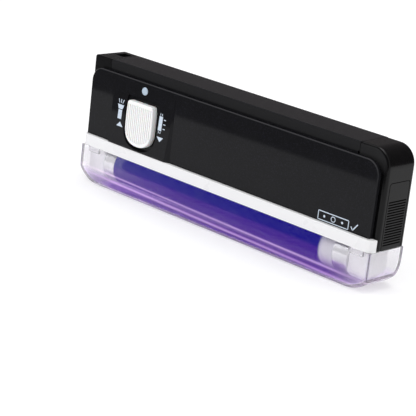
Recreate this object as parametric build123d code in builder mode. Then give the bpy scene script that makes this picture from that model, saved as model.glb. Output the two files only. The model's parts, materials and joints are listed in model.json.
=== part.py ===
"""Handheld ultraviolet counterfeit bill detector with a torch in its left end.

Millimetres, +Z up. X runs along the length, -Y is the face with the switch, and
the clear lamp cover is the underside that the detector stands on. The origin is
at the middle of the underside.
"""
import os

from build123d import *

os.makedirs("parts", exist_ok=True)

# ---- driving dimensions ----------------------------------------------------
LENGTH = 160.0          # whole detector, along X
DEPTH = 20.0            # lamp cover and white band, along Y
HEIGHT = 55.0           # underside to top
WALL = 1.1              # moulded walls of the black block
FIT = 0.15              # gap round a part that slides

END_X = LENGTH / 2
FRONT_Y = -DEPTH / 2    # face of the white band and of the lamp cover
BACK_Y = DEPTH / 2
PANEL_Y = -8.5          # face of the front panel
RIM_Y = -6.6            # face of the black block behind the panel
BLOCK_Z = 16.05         # underside of the black block and of the white band
LENS_TOP_Z = 15.9
BAND_TOP_Z = 20.8       # top of the white band, foot of the front panel
PANEL_TOP_Z = 50.3
PANEL_X0 = -79.2
PANEL_X1 = 77.4
PANEL_R = 6.0
INNER_Y = BACK_Y - WALL
TOP_WALL = 1.3
CEILING_Z = HEIGHT - TOP_WALL

COVER_X0 = -70.0        # the front cover's rail and top lie between these
DOOR_X = 66.0           # the end cap over the batteries starts here
DOOR_R = 7.5            # its rounded top corner
SEAM = 0.12             # visible gap at a parting line

# batteries: four AA cells, two rows of two
CELL_R = 7.0
CELL_BODY = 48.9
CELL_TOTAL = 50.0
CELL_BUTTON_R = 2.6
CELL_Y = INNER_Y - CELL_R - 0.2
CELL_RIGHT_X = 74.6
FLOOR_Z = 23.8          # top of the battery bay's floor
FLOOR_T = 1.2
ROW_Z = (FLOOR_Z + CELL_R + 0.15, FLOOR_Z + CELL_R + 0.15 + 2 * CELL_R + 0.5)
CELL_LEFT_X = CELL_RIGHT_X - 2 * CELL_TOTAL
BAY_WALL_X = -32.4      # right face of the bay's end wall
BAY_WALL_T = 1.2

# lamp: 4 W T5 tube between two-pin holders
TUBE_R = 7.75
TUBE_Z = 9.9
TUBE_HALF = 68.0        # outer face of an end cap
CAP_LENGTH = 7.0
CAP_R = 7.95
PIN_R = 1.15
PIN_OFFSET = 2.375
PIN_LENGTH = 6.8
HOLDER_X0 = TUBE_HALF + 0.3
HOLDER_X1 = 77.5
HOLDER_CAVITY_R = 4.2
HOLDER_CAVITY_X = 75.4
LEAF_Y = 3.62           # inner face of a holder's contact leaf

# slide switch in its raised plinth
SWITCH_X = -46.5
SWITCH_Z = 32.4
SWITCH_TRAVEL = 1.2     # each way from the middle, off
KNOB_FACE_Y = -10.8
KNOB_FOOT_Y = -8.1
RECESS_FLOOR_Y = -8.0
KNOB_HALF = 7.3         # half width at the flat top
KNOB_BULGE = 7.8        # half width at the widest place
KNOB_UP = 9.3
RIB_DEPTH = 0.45
KNOB_DOWN = 9.3
RECESS_SIDE = 2.0       # recess beyond the knob at each side
RECESS_END = SWITCH_TRAVEL + 0.5
LED_Z = 46.8
LED_R = 1.65

# raised plinth round the switch, widest at its foot
PLINTH_X0 = -65.0
PLINTH_X1 = -28.4
PLINTH_PROUD = 1.45
PLINTH_FOOT_Z = 20.9

# torch in the left end
TORCH_Y = 1.7
TORCH_Z = 33.5
TORCH_R = 5.2

# circuit board and screws; each part on the board has its span along X and Z
BOARD_Y = 2.1
BOARD_T = 1.2
BOARD_X = (-62.6, -38.8)
BOARD_Z = (24.4, 50.8)
BOARD_POSTS = ((-60.0, 49.2), (-40.4, 27.0))
CORE_X = (-61.2, -53.2)
CORE_Z = (26.0, 38.0)
CORE_SIDE = 1.6         # thickness of the core's side limbs
CORE_END = 2.2          # and of its end limbs
COIL_GAP = 0.05
TRANSISTOR_X = (-53.0, -50.0)
TRANSISTOR_Z = (41.2, 45.6)
LEG_PITCH = 1.27
CAN_AT = (-57.4, 44.2)
CAN_R = 2.7
FILM_X = (-41.9, -39.4)
FILM_Z = (39.8, 46.6)
RESISTOR_XS = (-56.0, -50.5, -45.0)
RESISTOR_Z = 33.0
RESISTOR_LENGTH = 4.6
RESISTOR_SPAN = 8.6     # between its two legs
SCREWS = ((-65.5, 46.2), (-67.8, 24.2), (-36.4, 48.4))
SCREW_R = 0.98
POST_R = 2.3

# strap opening in the left top corner
STRAP_X0 = -76.2
STRAP_X1 = -71.3
STRAP_Y0 = 0.9
STRAP_Y1 = 6.5
STRAP_Z0 = 45.0
STRAP_BAR_Z = 50.7

# thumb grip on the end cap
GRIP_Y = 2.0
GRIP_WIDTH = 12.2
GRIP_TOP_Z = 42.4
GROOVES = 17
GROOVE_PITCH = 1.04
GROOVE_DEPTH = 0.55
GROOVE_Z0 = 17.9

# T rail that holds the end cap
RAIL_Z0 = 19.9
SOLE_X = 77.6
RAIL_HEAD_X = (75.05, 76.35)
RAIL_HEAD_HALF = 2.6
RAIL_NECK_HALF = 1.2

GLASS_HALF = TUBE_HALF - CAP_LENGTH
SHEET_R = 8.3           # reflector sheet behind the tube
SHEET_HALF = 60.5
HOLDER_HALF = 6.6
HOLDER_FOOT_Z = 3.2
SPRING_X0 = BAY_WALL_X + 0.65
SPRING_LENGTH = CELL_LEFT_X - 0.35 - SPRING_X0
SPRING_TURNS = 4.5
RIBS = 6                # ribs each side of the middle one
RIB_PITCH = 1.12
STEM_END_Y = -4.2       # inner end of the knob's stem
SWITCH_BODY_Y = -3.2    # front of the slide switch's case

# insulated leads inside
LEAD_R = 0.45
LEAD_Y = 5.6
LEAD_Z = 21.2
LEAD_DROP_X = 61.0

LENS_WALL = 1.0
TAB_Y = 7.95            # inner face of the cover's push-fit tabs
TAB_TOP_Z = 18.4
TAB_X = 73.0
TAB_HALF = 3.0
TAB_ROOT_Z = LENS_TOP_Z - 2.4
TABS = ((-1, -1), (-1, 1), (1, -1))     # none under the end cap's back wall
LENS_END_Z = 4.5        # where the rounded ends of the underside meet the end faces
LENS_END_X = 9.4


def block(x0, x1, y0, y1, z0, z1, mode=Mode.ADD):
    """Box between opposite corners, inside the open part."""
    with Locations(((x0 + x1) / 2, (y0 + y1) / 2, (z0 + z1) / 2)):
        Box(x1 - x0, y1 - y0, z1 - z0, mode=mode)


def rod_x(x0, x1, y, z, radius, mode=Mode.ADD):
    """Round bar along X, inside the open part."""
    with Locations(Location(((x0 + x1) / 2, y, z), (0, 90, 0))):
        Cylinder(radius, x1 - x0, mode=mode)


def rod_y(x, z, y0, y1, radius, mode=Mode.ADD):
    """Round bar along Y, inside the open part."""
    with Locations(Location((x, (y0 + y1) / 2, z), (90, 0, 0))):
        Cylinder(radius, y1 - y0, mode=mode)


def front_plane(y):
    """Sketch plane facing -Y: its x is X and its y is Z."""
    return Plane(origin=(0, y, 0), x_dir=(1, 0, 0), z_dir=(0, -1, 0))


def end_plane(x):
    """Sketch plane facing +X: its x is Y and its y is Z."""
    return Plane(origin=(x, 0, 0), x_dir=(0, 1, 0), z_dir=(1, 0, 0))


def save(part, name):
    part.label = name
    export_step(part, f"parts/{name}.step")


# ---- rear housing: back, left end with the strap bar, battery bay -----------
def screw_post(x, z):
    rod_y(x, z, BOARD_Y + 0.05, INNER_Y + 0.1, POST_R)


def screw_bore(x, z):
    rod_y(x, z, BOARD_Y - 1, BACK_Y + 1, SCREW_R + 0.15, Mode.SUBTRACT)
    rod_y(x, z, BACK_Y - 2.2, BACK_Y + 1, 2.1, Mode.SUBTRACT)


with BuildPart() as rear_housing:
    block(-END_X, DOOR_X - SEAM, RIM_Y, BACK_Y, BLOCK_Z, HEIGHT)
    left_face = rear_housing.faces().sort_by(Axis.X)[0]
    left_edges = left_face.edges().filter_by(Axis.Z).sort_by(Axis.Y)[-1:]
    left_edges += left_face.edges().filter_by(Axis.Y).sort_by(Axis.Z)[-1:]
    left_edges += rear_housing.edges().filter_by(Axis.X).group_by(Axis.Y)[-1].sort_by(Axis.Z)[-1:]
    fillet(left_edges, 1.2)
    # the middle is open to the front and top, where the front cover closes it
    block(COVER_X0 - SEAM, END_X, RIM_Y - 1, INNER_Y, BLOCK_Z - 1, HEIGHT + 1, Mode.SUBTRACT)
    block(COVER_X0 - SEAM, END_X, INNER_Y - 1, BACK_Y + 1, CEILING_Z - SEAM, HEIGHT + 1,
          Mode.SUBTRACT)
    block(-END_X + WALL, COVER_X0, RIM_Y - 1, INNER_Y, BLOCK_Z - 1, CEILING_Z, Mode.SUBTRACT)
    # rail end over the panel, left of the front cover
    block(-END_X + 0.6, COVER_X0 - SEAM, RIM_Y, RIM_Y + 1.3, PANEL_TOP_Z - 1.2, HEIGHT - 0.6)
    # left rim behind the panel
    block(-END_X + 0.3, -END_X + 2.4, RIM_Y, RIM_Y + 1.2, BLOCK_Z, HEIGHT - 2)
    # strap channel: in at the top, round under the bar and out at the left end
    block(-END_X + 0.4, STRAP_X1 + WALL, STRAP_Y0 - WALL, STRAP_Y1 + WALL, STRAP_Z0 - WALL,
          HEIGHT - 0.4)
    block(STRAP_X0, STRAP_X1, STRAP_Y0, STRAP_Y1, STRAP_Z0, HEIGHT + 1, Mode.SUBTRACT)
    block(-END_X - 1, STRAP_X0 + 0.1, STRAP_Y0, STRAP_Y1, STRAP_Z0, STRAP_BAR_Z, Mode.SUBTRACT)
    # battery bay: floor, left wall and the rib between the rows
    block(BAY_WALL_X - BAY_WALL_T, DOOR_X - SEAM, RIM_Y + 1.2, INNER_Y + 0.1, FLOOR_Z - FLOOR_T,
          FLOOR_Z)
    block(BAY_WALL_X - BAY_WALL_T, BAY_WALL_X, RIM_Y + 1.2, INNER_Y + 0.1, FLOOR_Z, CEILING_Z - 0.3)
    rib_z = (ROW_Z[0] + ROW_Z[1]) / 2
    block(BAY_WALL_X, DOOR_X - SEAM, CELL_Y + 4.8, INNER_Y + 0.1, rib_z - 0.6, rib_z + 0.6)
    # sole with the T slot that the end cap's rail runs in
    block(DOOR_X - 3.8, SOLE_X, RIM_Y + 1.4, INNER_Y - FIT, RAIL_Z0, FLOOR_Z)
    block(RAIL_HEAD_X[0] - FIT, RAIL_HEAD_X[1] + FIT, CELL_Y - RAIL_HEAD_HALF - FIT,
          CELL_Y + RAIL_HEAD_HALF + FIT, RAIL_Z0 - 1, FLOOR_Z + 1, Mode.SUBTRACT)
    block(RAIL_HEAD_X[0], SOLE_X + 1, CELL_Y - RAIL_NECK_HALF - FIT,
          CELL_Y + RAIL_NECK_HALF + FIT, RAIL_Z0 - 1, FLOOR_Z + 1, Mode.SUBTRACT)
    for screw_x, screw_z in SCREWS:
        screw_post(screw_x, screw_z)
    for screw_x, screw_z in SCREWS:
        screw_bore(screw_x, screw_z)
    rod_x(-END_X - 1, -END_X + WALL + 1, TORCH_Y, TORCH_Z, TORCH_R + 0.1, Mode.SUBTRACT)
save(rear_housing.part, "rear_housing")


# ---- front cover: panel, switch plinth, rail and top ------------------------
def knob_outline(y, side, end):
    """D shape at y, grown by the gaps: flat top, bulging sides, round bottom."""
    half = KNOB_HALF + side
    bulge = KNOB_BULGE + side
    top_z = SWITCH_Z + KNOB_UP + end
    low_z = SWITCH_Z - KNOB_DOWN - end
    mid_z = SWITCH_Z - 1.5
    right = SWITCH_X + bulge
    left = SWITCH_X - bulge
    with BuildSketch(front_plane(y)) as outline:
        with BuildLine():
            Line((SWITCH_X - half, top_z), (SWITCH_X + half, top_z))
            Spline((SWITCH_X + half, top_z), (right, mid_z), tangents=((0.2, -1), (0, -1)))
            Spline((right, mid_z), (SWITCH_X, low_z), tangents=((0, -1), (-1, 0)))
            Spline((SWITCH_X, low_z), (left, mid_z), tangents=((-1, 0), (0, 1)))
            Spline((left, mid_z), (SWITCH_X - half, top_z), tangents=((0, 1), (0.2, 1)))
        make_face()
    return outline.sketch


def plinth_section(z, proud, left, right):
    """Cross-section of the plinth, rooted in the panel, with sloping sides."""
    with BuildSketch(Plane.XY.offset(z)) as section:
        with BuildLine():
            Polyline(
                (PLINTH_X0, PANEL_Y + 0.8),
                (PLINTH_X0, PANEL_Y),
                (PLINTH_X0 + left, PANEL_Y - proud),
                (PLINTH_X1 - right, PANEL_Y - proud),
                (PLINTH_X1, PANEL_Y),
                (PLINTH_X1, PANEL_Y + 0.8),
                close=True,
            )
        make_face()
    return section.sketch


plinth_foot = plinth_section(PLINTH_FOOT_Z, PLINTH_PROUD, 0.7, 2.2)
plinth_head = plinth_section(PANEL_TOP_Z - 0.7, 0.02, 0.01, 0.03)

with BuildPart() as front_cover:
    with BuildSketch(front_plane(RIM_Y)):
        with BuildLine():
            Polyline((PANEL_X0, PANEL_TOP_Z - PANEL_R), (PANEL_X0, BAND_TOP_Z),
                     (PANEL_X1, BAND_TOP_Z), (PANEL_X1, PANEL_TOP_Z - PANEL_R))
            RadiusArc((PANEL_X1, PANEL_TOP_Z - PANEL_R), (PANEL_X1 - PANEL_R, PANEL_TOP_Z), -PANEL_R)
            Line((PANEL_X1 - PANEL_R, PANEL_TOP_Z), (PANEL_X0 + PANEL_R, PANEL_TOP_Z))
            RadiusArc((PANEL_X0 + PANEL_R, PANEL_TOP_Z), (PANEL_X0, PANEL_TOP_Z - PANEL_R), -PANEL_R)
        make_face()
    extrude(amount=RIM_Y - PANEL_Y)
    chamfer(front_cover.faces().sort_by(Axis.Y)[0].edges().sort_by(Axis.Z)[1:], 0.3)
    loft(sections=[plinth_foot, plinth_head])
    # rail above the panel and the top of the block
    block(COVER_X0, DOOR_X - 2 * SEAM, RIM_Y, RIM_Y + 1.2, PANEL_TOP_Z - 1, HEIGHT)
    block(COVER_X0, DOOR_X - 2 * SEAM, RIM_Y, BACK_Y, CEILING_Z, HEIGHT)
    top_edges = front_cover.edges().filter_by(Axis.X).group_by(Axis.Z)[-1]
    fillet(top_edges.sort_by(Axis.Y)[:1], 0.7)
    fillet(front_cover.edges().filter_by(Axis.X).group_by(Axis.Z)[-1].sort_by(Axis.Y)[-1:], 1.0)
    # room for the end cap's front wall behind the panel
    block(DOOR_X - 1, PANEL_X1 + 1, RIM_Y - FIT, RIM_Y + 1, BAND_TOP_Z - 1, PANEL_TOP_Z + 1,
          Mode.SUBTRACT)
    # posts that the screws bite in, and two that carry the circuit board
    for screw_x, screw_z in SCREWS:
        rod_y(screw_x, screw_z, RIM_Y - 0.3, BOARD_Y - 0.05, POST_R - 0.1)
        rod_y(screw_x, screw_z, RIM_Y + 1.0, BOARD_Y + 1, SCREW_R + 0.02, Mode.SUBTRACT)
    for post_x, post_z in BOARD_POSTS:
        rod_y(post_x, post_z, RIM_Y - 0.3, BOARD_Y - 0.02, 1.4)
    # switch recess, the slot for the knob's stem, and the lamp window
    extrude(knob_outline(RECESS_FLOOR_Y, RECESS_SIDE, RECESS_END), amount=4, mode=Mode.SUBTRACT)
    block(SWITCH_X - 2.7, SWITCH_X + 2.7, PANEL_Y - 1, RIM_Y + 1, SWITCH_Z - 3.1 - RECESS_END,
          SWITCH_Z + 3.1 + RECESS_END, Mode.SUBTRACT)
    rod_y(SWITCH_X, LED_Z, PANEL_Y - 2, RIM_Y + 1, LED_R + 0.03, Mode.SUBTRACT)
save(front_cover.part, "front_cover")


# ---- white band and web above the lamp --------------------------------------
WEB_Z = (18.8, 19.7)

with BuildPart() as reflector_frame:
    with BuildSketch(Plane.XY.offset(BLOCK_Z)):
        with Locations((0, (FRONT_Y + RIM_Y - FIT) / 2)):
            Rectangle(LENGTH, RIM_Y - FIT - FRONT_Y)
    extrude(amount=BAND_TOP_Z - BLOCK_Z)
    fillet(reflector_frame.edges().filter_by(Axis.Z).group_by(Axis.Y)[0], 2.6)
    fillet(reflector_frame.faces().sort_by(Axis.Z)[-1].edges().sort_by(Axis.Y)[:1], 0.35)
    block(-END_X + 2.6, END_X - 2.6, FRONT_Y + 1.2, RIM_Y + 1, BLOCK_Z - 1, WEB_Z[1] + 0.2,
          Mode.SUBTRACT)
    block(-HOLDER_X1, HOLDER_X1, FRONT_Y + 1.0, INNER_Y - 0.2, WEB_Z[0], WEB_Z[1])
    for side in (-1, 1):
        with Locations((side * LEAD_DROP_X, LEAD_Y, sum(WEB_Z) / 2)):
            Cylinder(1.2, 3, mode=Mode.SUBTRACT)
save(reflector_frame.part, "reflector_frame")

with BuildPart() as reflector_sheet:
    with BuildSketch(end_plane(-SHEET_HALF)):
        with BuildLine():
            inner_arc = CenterArc((0, TUBE_Z), SHEET_R, 8, 84)
            outer_arc = CenterArc((0, TUBE_Z), SHEET_R + 0.4, 8, 84)
            Line(inner_arc @ 0, outer_arc @ 0)
            Line(inner_arc @ 1, outer_arc @ 1)
        make_face()
    extrude(amount=2 * SHEET_HALF)
save(reflector_sheet.part, "reflector_sheet")


# ---- clear lamp cover -------------------------------------------------------
def lens_body(inset, front_r, back_r):
    """Solid inside the cover's outline, smaller by the inset, rounded underneath."""
    with BuildPart() as body:
        half = END_X - inset
        with BuildSketch(front_plane(FRONT_Y + inset)):
            with BuildLine():
                Polyline((-half, LENS_END_Z + inset), (-half, LENS_TOP_Z), (half, LENS_TOP_Z),
                         (half, LENS_END_Z + inset))
                ThreePointArc((half, LENS_END_Z + inset), (half - 4.0, inset + 1.45),
                              (half - LENS_END_X, inset))
                Line((half - LENS_END_X, inset), (LENS_END_X - half, inset))
                ThreePointArc((LENS_END_X - half, inset), (4.0 - half, inset + 1.45),
                              (-half, LENS_END_Z + inset))
            make_face()
        extrude(amount=-(DEPTH - 2 * inset))
        under = body.edges().filter_by(lambda edge: edge.bounding_box().max.Z < LENS_END_Z + inset + 0.1)
        fillet(under.group_by(Axis.Y)[0], front_r)
        fillet(body.edges().filter_by(lambda edge: edge.bounding_box().max.Z < LENS_END_Z + inset + 0.1)
               .group_by(Axis.Y)[-1], back_r)
    return body.part


lens_outside = lens_body(0, 1.6, 4.2)
lens_inside = lens_body(LENS_WALL, 0.6, 3.2)
with BuildPart() as lens_cover:
    add(lens_outside)
    add(lens_inside, mode=Mode.SUBTRACT)
    for end_side, side in TABS:
        tab_x = end_side * TAB_X
        low, high = sorted((side * TAB_Y, side * (TAB_Y + 0.7)))
        wall_y = side * (BACK_Y - LENS_WALL / 2)
        block(tab_x - TAB_HALF, tab_x + TAB_HALF, low, high, TAB_ROOT_Z, TAB_TOP_Z)
        block(tab_x - TAB_HALF, tab_x + TAB_HALF, min(low, wall_y), max(high, wall_y), TAB_ROOT_Z,
              LENS_TOP_Z)
save(lens_cover.part, "lens_cover")


# ---- end cap over the batteries ---------------------------------------------
def cap_outline(y, inset, x0, z0):
    """End cap's outline at y, seen from the front and smaller by the inset."""
    top = HEIGHT - inset
    end = END_X - inset
    radius = DOOR_R - inset
    with BuildSketch(front_plane(y)) as outline:
        with BuildLine():
            Polyline((end, top - radius), (end, z0), (x0, z0), (x0, top), (end - radius, top))
            RadiusArc((end - radius, top), (end, top - radius), radius)
        make_face()
    return outline.sketch


with BuildPart() as battery_door:
    extrude(cap_outline(RIM_Y, 0, DOOR_X, BLOCK_Z + 0.1), amount=RIM_Y - BACK_Y)
    end_loop = battery_door.edges().filter_by(
        lambda edge: edge.center().X > END_X - DOOR_R and edge.center().Z > BLOCK_Z + 1)
    fillet(end_loop.group_by(Axis.Y)[0] + end_loop.group_by(Axis.Y)[-1], 1.5)
    inner_outline = cap_outline(RIM_Y + WALL, WALL, DOOR_X - 1, BLOCK_Z - 1)
    extrude(inner_outline, amount=RIM_Y + WALL - INNER_Y, mode=Mode.SUBTRACT)
    # the front wall stops above the white band
    block(DOOR_X - 1, END_X - WALL, RIM_Y - 1, RIM_Y + WALL + 0.1, BLOCK_Z - 1, BAND_TOP_Z + 0.2,
          Mode.SUBTRACT)
    # rail that runs in the housing's T slot
    block(RAIL_HEAD_X[0], RAIL_HEAD_X[1], CELL_Y - RAIL_HEAD_HALF, CELL_Y + RAIL_HEAD_HALF, RAIL_Z0,
          FLOOR_Z - 0.3)
    block(RAIL_HEAD_X[1], END_X - WALL, CELL_Y - RAIL_NECK_HALF, CELL_Y + RAIL_NECK_HALF, RAIL_Z0,
          FLOOR_Z - 0.3)
    # pads for the contact bridge
    for row_z in ROW_Z:
        block(CELL_RIGHT_X + 0.55, END_X - WALL, CELL_Y - 3, CELL_Y + 3, row_z - 3, row_z + 3)
    # thumb grip: framed panel with an arrow and seventeen grooves
    with BuildSketch(end_plane(END_X)):
        with Locations((GRIP_Y, (GRIP_TOP_Z + BLOCK_Z - 4) / 2)):
            RectangleRounded(GRIP_WIDTH, GRIP_TOP_Z - BLOCK_Z + 4, 1.4)
            RectangleRounded(GRIP_WIDTH - 0.6, GRIP_TOP_Z - BLOCK_Z + 3.4, 1.1, mode=Mode.SUBTRACT)
    extrude(amount=-0.3, mode=Mode.SUBTRACT)
    for groove in range(GROOVES):
        groove_z = GROOVE_Z0 + groove * GROOVE_PITCH
        block(END_X - GROOVE_DEPTH, END_X + 1, GRIP_Y - GRIP_WIDTH / 2 + 0.9, GRIP_Y + GRIP_WIDTH / 2 - 0.9,
              groove_z, groove_z + GROOVE_PITCH / 2, Mode.SUBTRACT)
    with BuildSketch(end_plane(END_X - 0.1)):
        with BuildLine():
            Polyline((GRIP_Y - 1.7, 38.9), (GRIP_Y, 40.6), (GRIP_Y + 1.7, 38.9), (GRIP_Y + 1.7, 38.2),
                     (GRIP_Y, 39.9), (GRIP_Y - 1.7, 38.2), close=True)
        make_face()
    extrude(amount=-0.2, mode=Mode.SUBTRACT)
save(battery_door.part, "battery_door")

with BuildPart() as door_contact:
    low_z = ROW_Z[0] - 4
    high_z = ROW_Z[1] + 4
    block(CELL_RIGHT_X + 0.25, CELL_RIGHT_X + 0.55, CELL_Y - 3.5, CELL_Y + 3.5, low_z, high_z)
    fillet(door_contact.edges().filter_by(Axis.X), 1.2)
    rod_x(CELL_RIGHT_X + 0.06, CELL_RIGHT_X + 0.3, CELL_Y, ROW_Z[0], 1.6)
    rod_x(CELL_RIGHT_X + 0.06, CELL_RIGHT_X + 0.3, CELL_Y, ROW_Z[1], 2.4)
save(door_contact.part, "door_contact")


# ---- batteries and their contacts at the left -------------------------------
def cell(name, x0, row_z, button_right):
    """One AA cell from x0 to x0 + CELL_TOTAL."""
    button = CELL_TOTAL - CELL_BODY
    body_x0 = x0 if button_right else x0 + button
    with BuildPart() as battery:
        rod_x(body_x0, body_x0 + CELL_BODY, CELL_Y, row_z, CELL_R)
        fillet(battery.edges().filter_by(GeomType.CIRCLE), 0.6)
        if button_right:
            rod_x(body_x0 + CELL_BODY, x0 + CELL_TOTAL, CELL_Y, row_z, CELL_BUTTON_R)
        else:
            rod_x(x0, body_x0, CELL_Y, row_z, CELL_BUTTON_R)
    save(battery.part, name)


cell("battery_lower_left", CELL_LEFT_X, ROW_Z[0], True)
cell("battery_lower_right", CELL_LEFT_X + CELL_TOTAL, ROW_Z[0], True)
cell("battery_upper_left", CELL_LEFT_X, ROW_Z[1], False)
cell("battery_upper_right", CELL_LEFT_X + CELL_TOTAL, ROW_Z[1], False)

with BuildPart() as battery_spring:
    with BuildLine() as coil:
        Helix(pitch=SPRING_LENGTH / SPRING_TURNS, height=SPRING_LENGTH, radius=3.4,
              center=(SPRING_X0, CELL_Y, ROW_Z[0]), direction=(1, 0, 0))
    with BuildSketch(Plane(origin=coil.line @ 0, z_dir=coil.line % 0)):
        Circle(0.3)
    sweep(is_frenet=True)
save(battery_spring.part, "battery_spring")

with BuildPart() as spring_plate:
    block(BAY_WALL_X + 0.02, BAY_WALL_X + 0.32, CELL_Y - 4.8, CELL_Y + 4.8, ROW_Z[0] - 4.8,
          ROW_Z[0] + 4.8)
    fillet(spring_plate.edges().filter_by(Axis.X), 1.0)
save(spring_plate.part, "spring_plate")

with BuildPart() as contact_leaf:
    block(BAY_WALL_X + 0.02, BAY_WALL_X + 0.32, CELL_Y - 4.8, CELL_Y + 4.8, ROW_Z[1] - 4.8,
          ROW_Z[1] + 4.8)
    with BuildSketch(front_plane(CELL_Y - 2)):
        with BuildLine() as leaf_line:
            Polyline((BAY_WALL_X + 0.2, ROW_Z[1] - 4.2), (CELL_LEFT_X - 0.25, ROW_Z[1] - 0.6),
                     (CELL_LEFT_X - 0.25, ROW_Z[1] + 1.2), (BAY_WALL_X + 2.6, ROW_Z[1] + 3.6))
            offset(amount=0.15, side=Side.BOTH)
        make_face()
    extrude(amount=-4)
save(contact_leaf.part, "contact_leaf")


# ---- lamp -------------------------------------------------------------------
with BuildPart() as uv_tube:
    rod_x(-GLASS_HALF, GLASS_HALF, 0, TUBE_Z, TUBE_R)
    rod_x(-GLASS_HALF + 1, GLASS_HALF - 1, 0, TUBE_Z, TUBE_R - 0.7, Mode.SUBTRACT)
save(uv_tube.part, "uv_tube")


def tube_end(side, name):
    """Metal end cap of the lamp, drawn in over the glass."""
    with BuildPart() as cap:
        rod_x(min(side * GLASS_HALF, side * TUBE_HALF), max(side * GLASS_HALF, side * TUBE_HALF), 0,
              TUBE_Z, CAP_R)
        outer_edge = cap.edges().filter_by(GeomType.CIRCLE).sort_by(Axis.X)
        fillet(outer_edge[-1:] if side > 0 else outer_edge[:1], 0.8)
    save(cap.part, name)


tube_end(-1, "tube_cap_left")
tube_end(1, "tube_cap_right")

with BuildPart() as tube_pins:
    for pin_y in (-PIN_OFFSET, PIN_OFFSET):
        rod_x(-TUBE_HALF - PIN_LENGTH, -TUBE_HALF, pin_y, TUBE_Z, PIN_R)
        rod_x(TUBE_HALF, TUBE_HALF + PIN_LENGTH, pin_y, TUBE_Z, PIN_R)
save(tube_pins.part, "tube_pins")

with BuildPart() as tube_cathodes:
    for side in (-1, 1):
        for lead_y in (-PIN_OFFSET, PIN_OFFSET):
            x_a, x_b = sorted((side * (GLASS_HALF - 1), side * (GLASS_HALF - 9)))
            rod_x(x_a, x_b, lead_y, TUBE_Z, 0.3)
        rod_y(side * (GLASS_HALF - 9), TUBE_Z, -PIN_OFFSET, PIN_OFFSET, 0.6)
save(tube_cathodes.part, "tube_cathodes")


def lamp_holder(side, name):
    """White two-pin holder with a slot from below and a round chamber to turn the pins in."""
    x_a, x_b = sorted((side * HOLDER_X0, side * HOLDER_X1))
    c_a, c_b = sorted((side * (HOLDER_X0 - 1), side * HOLDER_CAVITY_X))
    with BuildPart() as holder:
        with BuildSketch(end_plane(x_a)):
            with BuildLine():
                Polyline((-HOLDER_HALF, WEB_Z[0] - 0.05), (-HOLDER_HALF, HOLDER_FOOT_Z + 2))
                Line((-HOLDER_HALF, HOLDER_FOOT_Z + 2), (-HOLDER_HALF + 2, HOLDER_FOOT_Z))
                Line((-HOLDER_HALF + 2, HOLDER_FOOT_Z), (HOLDER_HALF - 5, HOLDER_FOOT_Z))
                RadiusArc((HOLDER_HALF - 5, HOLDER_FOOT_Z), (HOLDER_HALF, HOLDER_FOOT_Z + 5), -5)
                Line((HOLDER_HALF, HOLDER_FOOT_Z + 5), (HOLDER_HALF, WEB_Z[0] - 0.05))
                Line((HOLDER_HALF, WEB_Z[0] - 0.05), (-HOLDER_HALF, WEB_Z[0] - 0.05))
            make_face()
        extrude(amount=x_b - x_a)
        foot_edges = holder.edges().filter_by(Axis.Y).group_by(Axis.Z)[0].sort_by(Axis.X)
        chamfer(foot_edges[-1:] if side > 0 else foot_edges[:1], 3.0)
        rod_x(c_a, c_b, 0, TUBE_Z, HOLDER_CAVITY_R, Mode.SUBTRACT)
        block(c_a, c_b, -PIN_R - 0.25, PIN_R + 0.25, HOLDER_FOOT_Z - 1, TUBE_Z, Mode.SUBTRACT)
        for leaf_side in (-1, 1):
            y_a, y_b = sorted((leaf_side * (LEAF_Y - 0.03), leaf_side * (LEAF_Y + 0.33)))
            l_a, l_b = sorted((side * (HOLDER_CAVITY_X - 1), side * (HOLDER_CAVITY_X + 1.6)))
            block(l_a, l_b, y_a, y_b, TUBE_Z - 1, TUBE_Z + 1, Mode.SUBTRACT)
    save(holder.part, name)


lamp_holder(-1, "lamp_holder_left")
lamp_holder(1, "lamp_holder_right")

with BuildPart() as holder_contacts:
    for side in (-1, 1):
        for leaf_side in (-1, 1):
            x_a, x_b = sorted((side * (HOLDER_X0 + 1), side * (HOLDER_CAVITY_X + 1.5)))
            y_a, y_b = sorted((leaf_side * LEAF_Y, leaf_side * (LEAF_Y + 0.3)))
            block(x_a, x_b, y_a, y_b, TUBE_Z - 0.9, TUBE_Z + 0.9)
save(holder_contacts.part, "holder_contacts")


# ---- switch -----------------------------------------------------------------
with BuildPart() as switch_knob:
    extrude(knob_outline(KNOB_FOOT_Y, 0, 0), amount=KNOB_FOOT_Y - KNOB_FACE_Y)
    fillet(switch_knob.edges().filter_by(Axis.Y).group_by(Axis.Z)[-1], 1.0)
    fillet(switch_knob.faces().sort_by(Axis.Y)[0].edges(), 0.5)
    # ribbed thumb field inside a plain rim
    for rib in range(-RIBS, RIBS + 1):
        rib_x = SWITCH_X + rib * RIB_PITCH
        drop = 6.4 * (1 - (1 - (rib * RIB_PITCH / 7.6) ** 2) ** 0.5)
        block(rib_x - RIB_PITCH / 4, rib_x + RIB_PITCH / 4, KNOB_FACE_Y - 1, KNOB_FACE_Y + RIB_DEPTH,
              SWITCH_Z - KNOB_DOWN + 1.4 + drop, SWITCH_Z + KNOB_UP - 1.4, Mode.SUBTRACT)
    # stem with the ears that hold it behind the cover
    block(SWITCH_X - 2.4, SWITCH_X + 2.4, KNOB_FOOT_Y, STEM_END_Y, SWITCH_Z - 3, SWITCH_Z + 3)
    block(SWITCH_X - 3.7, SWITCH_X + 3.7, RIM_Y + 0.25, RIM_Y + 1.0, SWITCH_Z - 3, SWITCH_Z + 3)
    block(SWITCH_X - 1.15, SWITCH_X + 1.15, STEM_END_Y - 1.8, STEM_END_Y + 1, SWITCH_Z - 1.65,
          SWITCH_Z + 1.65, Mode.SUBTRACT)
save(switch_knob.part, "switch_knob")

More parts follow.
